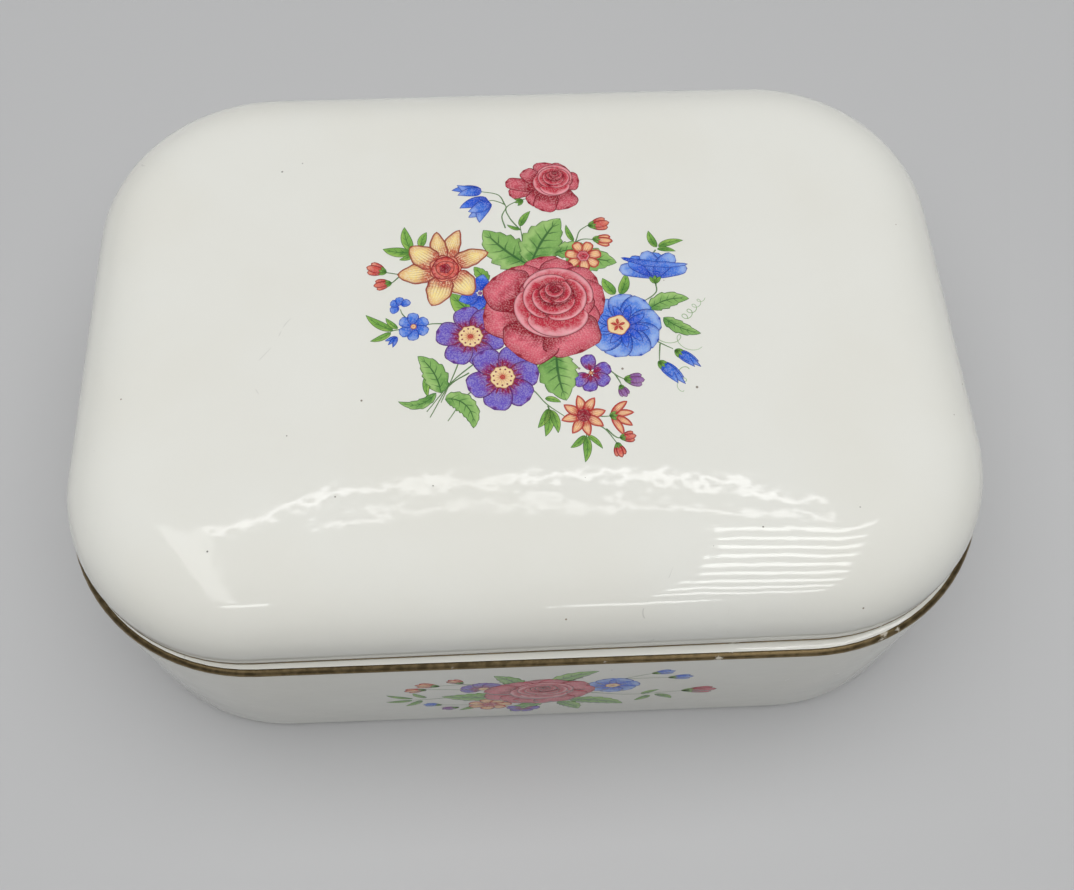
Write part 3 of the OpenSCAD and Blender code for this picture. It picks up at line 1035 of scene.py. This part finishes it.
def bouquet_stems(film, card):
    stem, curly = card["stem"], card["tendril"]
    stems(film, stem, (
        ((0.3, 8.0), (0.2, 10.8), (0.0, 12.8)),
        ((0.0, 12.2), (-1.4, 14.4), (-1.7, 16.2), (0.4, 17.4), (2.0, 17.6)),
        ((-2.0, 12.6), (-2.4, 14.6), (-1.8, 16.4), (-3.4, 17.4), (-4.4, 17.3)),
        ((-1.9, 16.6), (-2.8, 18.4), (-5.2, 19.1)),
        ((6.6, 8.6), (7.4, 10.2), (8.0, 11.8), (9.3, 12.8)),
        ((7.4, 10.0), (8.4, 10.4), (9.8, 10.3)), ((18.0, 8.4), (17.6, 7.8), (17.4, 6.8)),
        ((17.5, 3.0), (17.4, 1.6), (15.9, 0.4), (13.5, -0.6)),
        ((-8.8, -2.4), (-12.0, -2.2), (-13.4, -2.6)), ((-13.6, -2.5), (-16.6, -2.9), (-17.4, -3.1)),
        ((-14.8, -1.8), (-15.8, -0.6), (-16.1, 0.2)), ((-12.4, 7.4), (-14.2, 9.1), (-14.9, 10.4)),
        ((-14.8, 5.4), (-16.0, 5.6), (-18.6, 6.2)), ((-16.0, 5.6), (-17.2, 4.4), (-18.0, 4.2)),
        ((-6.6, -8.2), (-9.6, -10.8), (-12.8, -14.8)),
        ((-7.4, -9.6), (-10.0, -11.4), (-12.4, -15.6)),
        ((-8.0, -6.0), (-9.2, -9.4), (-11.0, -13.6)),
        ((-5.6, -12.0), (-7.6, -12.6), (-10.2, -16.2)),
        ((-0.6, -11.4), (0.8, -12.6), (2.2, -14.4), (4.4, -16.2)),
        ((2.3, -14.6), (2.5, -15.6), (2.0, -17.2)), ((7.6, -16.0), (9.0, -16.3), (10.0, -16.3)),
        ((7.4, -17.0), (9.2, -18.0), (10.6, -20.0)), ((9.4, -18.0), (10.6, -19.2), (11.6, -19.2)),
        ((6.8, -17.2), (6.9, -18.6), (6.6, -20.6)), ((9.6, -9.0), (11.2, -10.6), (12.4, -11.3)),
        ((11.0, -10.4), (11.6, -11.6), (11.8, -12.4)), ((15.6, -5.0), (17.4, -6.2), (18.8, -7.0)),
        ((17.2, -6.2), (17.0, -7.6), (16.9, -8.6)),
    ))
    curl(film, at(21.2, -2.6), at(23.8, 0.6), 4, 0.55, curly, 0.2)
    curl(film, at(17.2, -4.2), at(22.6, -6.8), 2, 1.1, curly, 0.9)
    curl(film, at(20.6, -10.0), at(19.6, -13.0), 2, 0.7, curly, 0.9)


def bouquet_purple_flowers(film, card):
    petal, fringe, cream = card["purple"], card["ray"], card["cream"]
    for centre, size, level, angles in (
        (at(-7.1, -4.3), 4.5, 1.6, (100, 48, -5, -68, -120, 168)),
        (at(-3.2, -10.4), 4.7, 2.4, (65, 5, -45, -105, -160, 125)),
    ):
        petals(film, centre, size, angles, size * 0.80, petal, level, BROAD, notch=0.08)
        for angle in evenly(18, 8):
            reach = 2.6 if angle % 40 < 20 else 2.2
            ray(film, centre, angle, 1.3, reach, 0.0, 4, 0.24, fringe, level + 0.8, SLIM, 2)
        disc(film, centre, 1.62, cream, level + 1.5, lobes=9)
        for angle in evenly(11, 5):
            disc(film, centre + turned(angle, 1.15), 0.13, fringe, level + 2.2, cuts=8)
        disc(film, centre, 0.34, card["small"], level + 2.2, cuts=10)
    small = at(8.0, -10.2)
    petals(film, small, 2.7, (20, -38, -95, -150, 100), 2.0, petal, 1.6, BROAD, notch=0.06)
    petals(film, small, 1.4, (20, -38, -95, -150, 100), 0.4, fringe, 2.4, SLIM)
    disc(film, small, 0.3, cream, 3.0, cuts=10)
    bud(film, at(12.4, -11.3), -2, 2.4, card["mauve"], card["small_green"], 1.6)
    bud(film, at(11.6, -12.2), -65, 1.7, card["mauve"], card["small_green"], 1.6)


def bouquet_blue_flowers(film, card):
    blue, deep, green = card["blue"], card["deep_blue"], card["small_green"]

    # Morning glory, turned to the right
    glory = at(12.8, -3.4)
    petals(film, glory, 4.9, evenly(9, 12), 3.9, blue, 1.6, BROAD, inner=0.06, notch=0.04)
    petals(film, glory, 3.3, evenly(9, 32), 1.1, deep, 2.4, SLIM, inner=0.1)
    disc(film, glory + at(-0.8, 0.1), 1.5, card["cream"], 3.1, lobes=5)
    petals(film, glory + at(-0.8, 0.1), 1.0, evenly(5, 20), 0.4, card["small"], 3.8, SLIM)

    # Trumpet flower, from its side
    throat = at(17.7, 3.9)
    for angle, reach, width, paint, level in (
        (165, 5.1, 2.3, blue, 1.6), (142, 4.6, 2.6, deep, 2.2), (112, 4.4, 2.4, blue, 2.8),
        (80, 4.0, 2.6, deep, 2.2), (52, 4.5, 2.3, blue, 2.8), (18, 4.5, 2.1, blue, 1.6),
    ):
        bow = -0.10 if angle > 90 else 0.10
        ray(film, throat, angle, 0, reach, bow, 14, width, paint, level, BROAD, tilt=0.2)
    brim = bowed(at(13.2, 7.2), at(22.1, 6.0), -0.06, 22)
    blade(film, brim, 1.0, blue, 3.4, OVAL, ruffle=0.1)
    sepals(film, at(17.5, 2.9), 88, 1.4, green, 3.9)

    # Bluebells
    for base, tips, width in (
        (at(-5.0, 19.0), ((174, 4.2), (158, 3.7), (188, 3.4)), 1.6),
        (at(-4.1, 17.4), ((196, 4.2), (224, 4.0), (250, 4.0), (212, 3.4)), 1.9),
    ):
        for k, (angle, reach) in enumerate(tips):
            bow = 0.08 if k % 2 else -0.08
            ray(film, base, angle, 0, reach, bow, 12, width, blue if k else deep, 1.6 + 0.7 * k,
                (0.45, 0.9))

    # Star beside the rose, and the forget-me-nots
    petals(film, at(-5.7, 2.2), 3.0, evenly(6, 20), 2.3, deep, 1.0, POINTED, tilt=0.2)
    disc(film, at(-5.7, 2.2), 0.3, card["mauve"], 1.5, cuts=10)
    petals(film, at(-14.4, -2.5), 2.1, evenly(6, 30), 1.55, blue, 1.6, BROAD, inner=0.1)
    disc(film, at(-14.4, -2.5), 0.42, card["cream"], 2.6, cuts=12)
    petals(film, at(-16.1, 0.6), 1.5, (150, 95, 40, 205), 1.15, blue, 1.6, BROAD)
    for angle in (200, 225, 250):
        level = 1.6 + angle / 200
        ray(film, at(-16.5, -3.9), angle, 0, 1.7, 0.0, 8, 0.6, blue, level, POINTED, 4)

    # Hanging buds
    for place, angle, size in ((at(19.2, -7.4), -38, 3.8), (at(16.9, -9.0), -46, 4.4)):
        for lean, share in ((-9, 0.84), (9, 0.84), (0, 1.0)):
            ray(film, place, angle + lean, 0, size * share, 0.03, 12, size * 0.3, blue,
                1.6 + 0.5 * share, (0.55, 1.0), tilt=0.2)
        sepals(film, place - turned(angle, 0.3), angle, 1.2, green, 3.0)


def bouquet_lily(film, card):
    heart = at(-10.2, 6.3)
    for angle, reach, width, level in (
        (72, 6.6, 2.5, 1.6), (100, 6.2, 2.4, 2.0), (22, 6.3, 2.9, 2.4), (140, 6.0, 3.6, 2.4),
        (186, 6.4, 3.4, 1.8), (252, 6.1, 3.6, 2.2), (308, 5.6, 3.8, 1.8),
    ):
        ray(film, heart, angle, 1.2, reach, 0.05, 16, width, card["lily"], level, (0.5, 0.75), 8,
            ruffle=0.04, tilt=0.2)
    disc(film, heart, 2.1, card["red"], 3.1, lobes=7, cuts=32)
    for start in (20, 140, 260):
        blade(film, arc(heart, 1.5, start, 150, 14), 0.8, card["red"], 3.8, OVAL, 4, rim_up=True)
    disc(film, heart, 0.75, card["core"], 4.4, lobes=5, cuts=16)
    bud(film, at(-18.2, 6.2), 160, 2.6, card["red"], card["small_green"], 1.6)
    bud(film, at(-17.5, 4.4), 190, 2.2, card["red"], card["small_green"], 1.6)


def bouquet_small_flowers(film, card):
    small, green, core = card["small"], card["small_green"], card["core"]
    petals(film, at(8.2, 7.6), 2.5, evenly(7, 12), 1.5, small, 3.0, BROAD)
    disc(film, at(8.2, 7.6), 0.85, card["cup"], 3.9, lobes=6)
    petals(film, at(6.7, -16.1), 2.9, evenly(8, 12), 1.35, small, 1.6, (0.6, 0.85))
    disc(film, at(6.7, -16.1), 0.85, core, 2.6, lobes=8)
    for angle in (-62, -28, 8, 42):
        level = 2.0 + abs(angle) / 100
        ray(film, at(10.1, -16.3), angle, 0, 3.0, 0.05, 10, 1.05, small, level, (0.7, 0.75))
    sepals(film, at(9.9, -16.3), 0, 1.1, green, 3.4)
    bud(film, at(11.2, -19.3), 8, 1.9, card["red"], green, 1.6)
    bud(film, at(10.6, -20.1), -75, 1.9, card["red"], green, 1.6)
    bud(film, at(9.5, 12.6), 12, 2.7, card["red"], green, 1.6)
    bud(film, at(9.9, 10.3), -8, 2.5, small, green, 1.6)


# ---------------------------------------------------------------- the spray on the front
def spray_rose(film, card):
    guard = (
        (95, 1.0, 0.80, 0), (60, 1.0, 0.78, 0.6), (130, 1.02, 0.80, 0.9), (28, 1.12, 0.78, 1.2),
        (158, 1.14, 0.80, 1.4), (0, 1.12, 0.80, 0.9), (190, 1.16, 0.82, 1.0),
        (330, 1.0, 0.80, 1.6), (225, 1.0, 0.84, 1.5), (258, 0.95, 0.86, 1.9), (294, 0.96, 0.88, 2.2))
    rose(film, at(0.6, 15.4), 6.6, (card["rose"], card["cup"], card["core"]), 2.6, guard,
         at(0.05, 0.08), at(0.06, 0.32))


def spray_leaves(film, card):
    green, small, stem = card["green"], card["small_green"], card["stem"]
    leaves(film, (
        (-3.6, 14.2, -12.6, 14.8, 4.6, green, 1.0, 0.08, 6),
        (-2.2, 19.0, -5.4, 24.6, 3.2, green, 1.0, -0.08, 5),
        (2.2, 20.0, 8.0, 25.2, 3.4, green, 1.0, 0.08, 5),
        (4.6, 10.6, 12.4, 7.0, 3.8, green, 1.0, 0.08, 6),
        (1.0, 9.4, -3.4, 4.6, 3.0, green, 1.0, -0.08, 5),
        (3.2, 9.6, 6.2, 4.8, 2.8, green, 1.6, 0.08, 5),
    ))
    leaflets(film, small, 0.08, (
        (-16.4, 14.2, -19.8, 16.6, 1.2), (-16.6, 13.4, -20.2, 12.8, 1.3),
        (-15.4, 13.2, -17.8, 10.2, 1.2), (-14.6, 14.4, -16.2, 17.2, 1.1),
        (16.4, 11.8, 19.0, 9.0, 1.4), (14.6, 12.0, 16.8, 14.4, 1.2), (15.6, 11.4, 13.8, 8.6, 1.3),
        (-7.8, 9.4, -10.6, 6.6, 1.3),
    ))
    stems(film, stem, (
        ((-10.0, 14.6), (-13.0, 13.8), (-17.4, 13.4)), ((-4.4, 18.4), (-8.4, 20.8), (-12.6, 20.6)),
        ((-6.0, 17.2), (-9.8, 18.2), (-14.4, 19.0)), ((-5.0, 11.6), (-8.4, 9.6), (-13.0, 10.2)),
        ((7.4, 14.2), (13.0, 12.2), (20.4, 13.2)), ((7.0, 18.4), (12.0, 20.6), (17.4, 20.6)),
        ((10.4, 20.0), (13.2, 22.0), (15.0, 23.0)),
    ))


def spray_flowers(film, card):
    small, blue, green = card["small"], card["blue"], card["small_green"]
    petals(film, at(10.2, 17.6), 3.7, evenly(7, 10), 3.2, blue, 1.6, BROAD, notch=0.05)
    petals(film, at(10.2, 17.6), 2.3, evenly(7, 35), 0.9, card["deep_blue"], 2.4, SLIM)
    disc(film, at(10.2, 17.6), 1.0, card["cream"], 3.1, lobes=5)
    petals(film, at(-6.2, 9.4), 3.1, evenly(7, 0), 2.0, small, 1.6, BROAD)
    disc(film, at(-6.2, 9.4), 0.9, card["cup"], 2.6, lobes=6)
    petals(film, at(-1.6, 6.6), 2.4, (170, 230, 290, 350), 2.0, card["purple"], 1.9, BROAD)
    petals(film, at(-6.8, 18.2), 3.2, (100, 150, 200, 55), 2.5, card["purple"], 1.6, BROAD)
    disc(film, at(-6.8, 18.2), 0.8, card["cream"], 2.6, lobes=7)
    for place, angle, size in (
        (at(-12.8, 20.6), 165, 3.0), (at(-14.6, 19.0), 195, 2.8), (at(-9.6, 21.6), 130, 2.5),
    ):
        bud(film, place, angle, size, small, green, 1.6)
    bud(film, at(20.4, 13.2), 4, 4.4, card["rose"], green, 1.6)
    bud(film, at(15.2, 23.0), 20, 2.8, blue, green, 1.6)
    bud(film, at(17.6, 20.6), 5, 3.0, blue, green, 1.6)
    bud(film, at(-13.0, 10.2), 170, 2.4, blue, green, 1.6)
    bud(film, at(-10.8, 8.4), 205, 2.4, card["mauve"], green, 1.6)


# ---------------------------------------------------------------- camera, floor and light
CAMERA_AT = Vector((-3.8, -80.9, 168.4)) * MM
CAMERA_TILT = 0.4493
CAMERA_ROLL = 0.0372
CAMERA_YAW = -0.0754
CAMERA_LENS = 38.55
SENSOR_WIDTH = 36
NEAREST = 0.01
FLOOR_SIZE = 4
FLOOR_GREY = (0.52, 0.52, 0.52, 1)
FLOOR_ROUGHNESS = 0.8


def add_camera():
    data = bpy.data.cameras.new("camera")
    data.lens = CAMERA_LENS
    data.sensor_width = SENSOR_WIDTH
    data.clip_start = NEAREST
    camera = bpy.data.objects.new("camera", data)
    camera.matrix_world = (
        Matrix.Translation(CAMERA_AT)
        @ Matrix.Rotation(CAMERA_YAW, 4, "Z")
        @ Matrix.Rotation(CAMERA_TILT, 4, "X")
        @ Matrix.Rotation(CAMERA_ROLL, 4, "Z"))
    bpy.context.collection.objects.link(camera)
    bpy.context.scene.camera = camera


def add_floor():
    deselect_all()
    bpy.ops.mesh.primitive_plane_add(size=FLOOR_SIZE, location=(0, 0, 0))
    floor = bpy.context.object
    floor.name = "studio_floor"
    material, _, shader = new_material("studio_floor")
    shader.inputs["Base Color"].default_value = FLOOR_GREY
    shader.inputs["Roughness"].default_value = FLOOR_ROUGHNESS
    floor.data.materials.append(material)


def softbox(name, place, size, power, aim):
    data = bpy.data.lights.new(name, "AREA")
    data.shape = "RECTANGLE"
    data.size, data.size_y = size
    data.energy = power
    light = bpy.data.objects.new(name, data)
    light.location = place
    light.rotation_euler = (Vector(aim) - Vector(place)).to_track_quat("-Z", "Y").to_euler()
    bpy.context.collection.objects.link(light)
    return light


SKY_COLOUR = (0.9, 0.94, 1.0, 1)
SKY_STRENGTH = 0.15
KEY_AT = (0.0, -0.04, 0.85)
KEY_SIZE = (1.25, 1.0)
KEY_POWER = 8.9
KEY_AIM = (0, 0, 0.03)
CEILING = 0.9
CARD_LEAN = 1e-4
CARD_GLOW = 5.5
WINDOW_PANE_GLOW = 1.6
BLIND_SLATS = 9
BLIND_SIDES = (0.20, 0.42)
BLIND_FRONT = 0.145
SLAT_DEPTH, SLAT_GROWTH = 0.026, 0.006
SLAT_SPACING, SPACING_GROWTH = 0.085, 0.014

# The window's bright strips: left, right, front and back, then the glow of the dimmer pane.
WINDOW_CARDS = (
    ("window_head", -0.33, 0.34, 0.222, 0.234),
    ("window_head_low", -0.20, 0.34, 0.184, 0.191),
    ("window_left", -0.43, -0.33, -0.56, 0.23, WINDOW_PANE_GLOW),
    ("window_left_edge", -0.345, -0.33, -0.62, 0.235),
    ("window_left_bar", -0.395, -0.385, -0.48, 0.10),
    ("window_left_sill", -0.42, -0.28, -0.72, -0.66),
    ("window_sill", 0.08, 0.33, -1.44, -1.30),
)


def glow_card(name, left, right, front, back, glow=CARD_GLOW):
    """A bright card overhead that shows only as a reflection in the glaze."""
    size = (right - left, back - front)
    place = ((left + right) / 2, (front + back) / 2, CEILING)
    power = glow * math.pi * size[0] * size[1]
    card = softbox(name, place, size, power, (place[0], place[1] + CARD_LEAN, 0))
    card.visible_diffuse = False
    card.visible_camera = False


def add_lights():
    world = bpy.data.worlds.new("studio")
    bpy.context.scene.world = world
    world.use_nodes = True
    sky = world.node_tree.nodes["Background"].inputs
    sky["Color"].default_value = SKY_COLOUR
    sky["Strength"].default_value = SKY_STRENGTH
    key = softbox("overhead_key", KEY_AT, KEY_SIZE, KEY_POWER, KEY_AIM)
    key.visible_glossy = False
    for name, *sides in WINDOW_CARDS:
        glow_card(name, *sides)
    front = BLIND_FRONT
    for slat in range(BLIND_SLATS):
        depth = SLAT_DEPTH + SLAT_GROWTH * slat
        glow_card(f"window_blind_{slat}", *BLIND_SIDES, front - depth, front)
        front -= SLAT_SPACING + SPACING_GROWTH * slat


# ---------------------------------------------------------------- the whole box
def build():
    glaze_surface = make_glaze_surface()
    specks = make_specks()
    glaze = porcelain_glaze(glaze_surface, specks, make_hairlines())
    gold = worn_gilding()

    base = make_base()
    base.data.materials.append(glaze)
    base.data.materials.append(bare_foot())
    for face in base.data.polygons:
        low = face.center.z < FOOT_BARE_BELOW and abs(face.normal.z) > FOOT_BARE_FLAT
        face.material_index = 1 if low else 0
    lid = make_lid()
    lid.data.materials.append(glaze)

    def near_rim(face):
        middle = face.calc_center_median()
        return plan_inset(middle) < RIM_ROUND and middle.z > LEDGE_Z - RIM_ROUND * 1.05

    def near_lip(face):
        middle = LID_POSE.inverted() @ face.calc_center_median()
        return lid_inset(middle) < LIP_ROUND and middle.z < LID_EDGE

    base_gilt = band_piece("gilt_line_on_base", base, near_rim, *BASE_GILT)
    lid_gilt = band_piece("gilt_line_on_lid", lid, near_lip, *LID_GILT)
    for band in (base_gilt, lid_gilt):
        band.data.materials.clear()
        band.data.materials.append(gold)

    for piece, node, body, slot in (
        (base, "base", "base", "glazed_porcelain"),
        (lid, "lid", "lid", "glazed_porcelain"),
        (base_gilt, "base_gilt_line", "base", "gilding"),
        (lid_gilt, "lid_gilt_line", "lid", "gilding"),
    ):
        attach(piece, body)
        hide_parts(node)

    card = mix_paints(glaze_surface)
    bouquet = (bouquet_leaves, bouquet_stems, bouquet_rose, bouquet_upper_rose, bouquet_lily,
               bouquet_purple_flowers, bouquet_blue_flowers, bouquet_small_flowers)
    spray = (spray_leaves, spray_rose, spray_flowers)
    for paintings, lay, outward, pose, body, node in (
        (bouquet, on_lid, (0, 0, 1), LID_POSE, "lid", "lid_bouquet_transfer"),
        (spray, on_front, (0, -1, 0), Matrix.Identity(4), "base", "front_spray_transfer"),
    ):
        for painting in paintings:
            film = Film(painting.__name__, lay, outward)
            painting(film, card)
            piece = film.finish(pose)
            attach(piece, body)
            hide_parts(node)


add_camera()
add_floor()
add_lights()
build()
bpy.context.scene.view_settings.view_transform = "Standard"
